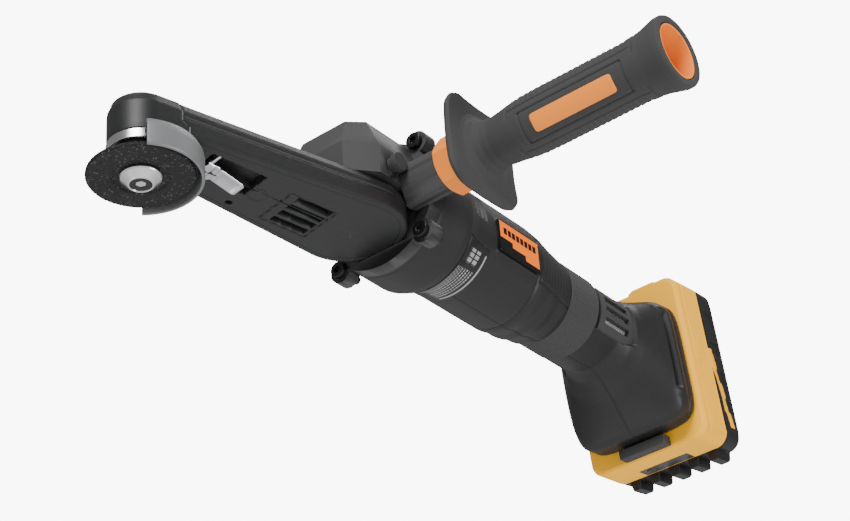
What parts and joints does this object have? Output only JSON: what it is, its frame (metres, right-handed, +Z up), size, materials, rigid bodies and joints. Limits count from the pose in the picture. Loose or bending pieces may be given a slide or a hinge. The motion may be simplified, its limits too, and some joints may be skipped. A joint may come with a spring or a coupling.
{
  "type": "angle grinder",
  "caption": "Cordless long-reach angle grinder: slide-on battery, motor body, bevel gear case, belt-driven neck with a small guarded disc, and a screw-in side handle.",
  "frame": {"origin": "middle of the box's base: under the tool, level with the lowest rib of the battery", "axes": "+X along the motor axis from the battery to the disc; +Y towards the side handle; +Z up, away from the disc's working face"},
  "size_m": [0.4472, 0.2264, 0.107],
  "materials": {
    "case_grey": "matt dark grey coated die casting",
    "body_plastic": "fine grained dark grey nylon",
    "grip_rubber": "soft overmould",
    "steel": "machined steel",
    "dark_steel": "black oxide steel",
    "lever_chrome": "bright plated",
    "guard_paint": "semi-gloss grey painted steel",
    "pulley_metal": "machined aluminium",
    "core_steel": "laminated steel",
    "abrasive": "coarse black abrasive",
    "orange_plastic": "satin orange plastic",
    "label_black": "printed label film",
    "board_blue": "potted circuit board",
    "pack_yellow": "satin yellow plastic",
    "pack_black": "grained black plastic",
    "cell_wrap": "sleeved cells",
    "gauge_grey": "printed grey panel"
  },
  "bodies": {
    "tool": {"gear_case": "case_grey", "gear_case_screws": "dark_steel", "lock_spring": "steel", "neck_shell": "body_plastic", "neck_cover": "body_plastic", "neck_screws": "steel", "head_housing": "body_plastic", "head_screws": "steel", "spindle_nose": "body_plastic", "head_upper_bearing": "steel", "head_lower_bearing": "steel", "drive_belt": "grip_rubber", "spindle_upper_bearing": "steel", "spindle_lower_bearing": "steel", "motor_front_bearing": "steel", "motor_rear_bearing": "steel", "stator": "core_steel", "lever_pin": "steel", "housing_left": "body_plastic", "housing_right": "body_plastic", "housing_screws": "steel", "grip_sleeve": "grip_rubber", "name_plate": "orange_plastic", "rating_plate": "label_black", "intake_covers": "body_plastic", "intake_filters": "steel", "switch_body": "body_plastic", "control_module": "board_blue", "terminal_block": "body_plastic"},
    "rotor": {"rotor_shaft": "steel", "rotor_core": "core_steel", "cooling_fan": "body_plastic", "pinion": "steel"},
    "main_drive": {"main_spindle": "steel", "bevel_gear": "steel", "rear_pulley": "pulley_metal"},
    "disc_drive": {"output_spindle": "steel", "front_pulley": "pulley_metal", "backing_flange": "steel", "abrasive_disc": "abrasive", "clamp_flange": "steel", "clamp_bolt": "dark_steel"},
    "guard_set": {"guard": "guard_paint", "guard_band": "steel"},
    "clamp_lever": {"guard_lever": "lever_chrome"},
    "lock": {"lock_button": "body_plastic", "lock_pin": "steel"},
    "switch": {"switch_slider": "grip_rubber"},
    "side_handle": {"handle_stud": "steel", "handle_nut": "orange_plastic", "handle_grip": "grip_rubber", "handle_end_tube": "orange_plastic", "handle_inserts": "orange_plastic"},
    "battery": {"pack_case": "pack_yellow", "pack_base": "pack_black", "pack_cells": "cell_wrap", "latch_spring": "steel", "gauge_panel": "gauge_grey"},
    "latch": {"pack_latch": "body_plastic"},
    "gauge_key": {"gauge_button": "grip_rubber"}
  },
  "joints": [
    {"name": "motor_spin", "type": "hinge", "parent": "tool", "child": "rotor", "pos_m": [0.06667, -0.0688, 0.05883], "axis": [1, 0, 0], "continuous": true},
    {"name": "main_spindle_spin", "type": "hinge", "parent": "tool", "child": "main_drive", "pos_m": [0.07617, -0.0688, 0.05883], "axis": [0, 0, 1], "continuous": true},
    {"name": "disc_spin", "type": "hinge", "parent": "tool", "child": "disc_drive", "pos_m": [0.19864, -0.0882, 0.01283], "axis": [0, 0, 1], "continuous": true},
    {"name": "guard_turn", "type": "hinge", "parent": "tool", "child": "guard_set", "pos_m": [0.19864, -0.0882, 0.02883], "axis": [0, 0, 1], "range_deg": [-60, 60]},
    {"name": "guard_lever_swing", "type": "hinge", "parent": "tool", "child": "clamp_lever", "pos_m": [0.16356, -0.0796, 0.03413], "axis": [0.1564, 0.9877, 0], "range_deg": [-60, 0]},
    {"name": "lock_press", "type": "slide", "parent": "tool", "child": "lock", "axis": [0, -1, 0], "range_m": [0, 0.0012], "stiffness_N_per_m": 400, "springref_m": -0.003, "deforming": ["lock_spring"]},
    {"name": "switch_slide", "type": "slide", "parent": "tool", "child": "switch", "axis": [1, 0, 0], "range_m": [0, 0.008]},
    {"name": "side_handle_screw", "type": "hinge", "parent": "tool", "child": "side_handle", "pos_m": [0.05927, -0.0198, 0.05483], "axis": [0, 1, 0], "continuous": true},
    {"name": "battery_slide", "type": "slide", "parent": "tool", "child": "battery", "axis": [-0.1219, 0, -0.9925], "range_m": [0, 0.12]},
    {"name": "latch_press", "type": "slide", "parent": "battery", "child": "latch", "axis": [-0.9925, 0, 0.1219], "range_m": [0, 0.0025], "stiffness_N_per_m": 500, "springref_m": -0.003, "deforming": ["latch_spring"]},
    {"name": "gauge_press", "type": "slide", "parent": "battery", "child": "gauge_key", "axis": [0.1219, 0, 0.9925], "range_m": [0, 0.0008], "stiffness_N_per_m": 300, "springref_m": -0.002}
  ],
  "couplings": [
    {"joint": "main_spindle_spin", "follows": "motor_spin", "ratio": 0.31579},
    {"joint": "disc_spin", "follows": "motor_spin", "ratio": 0.57143}
  ]
}
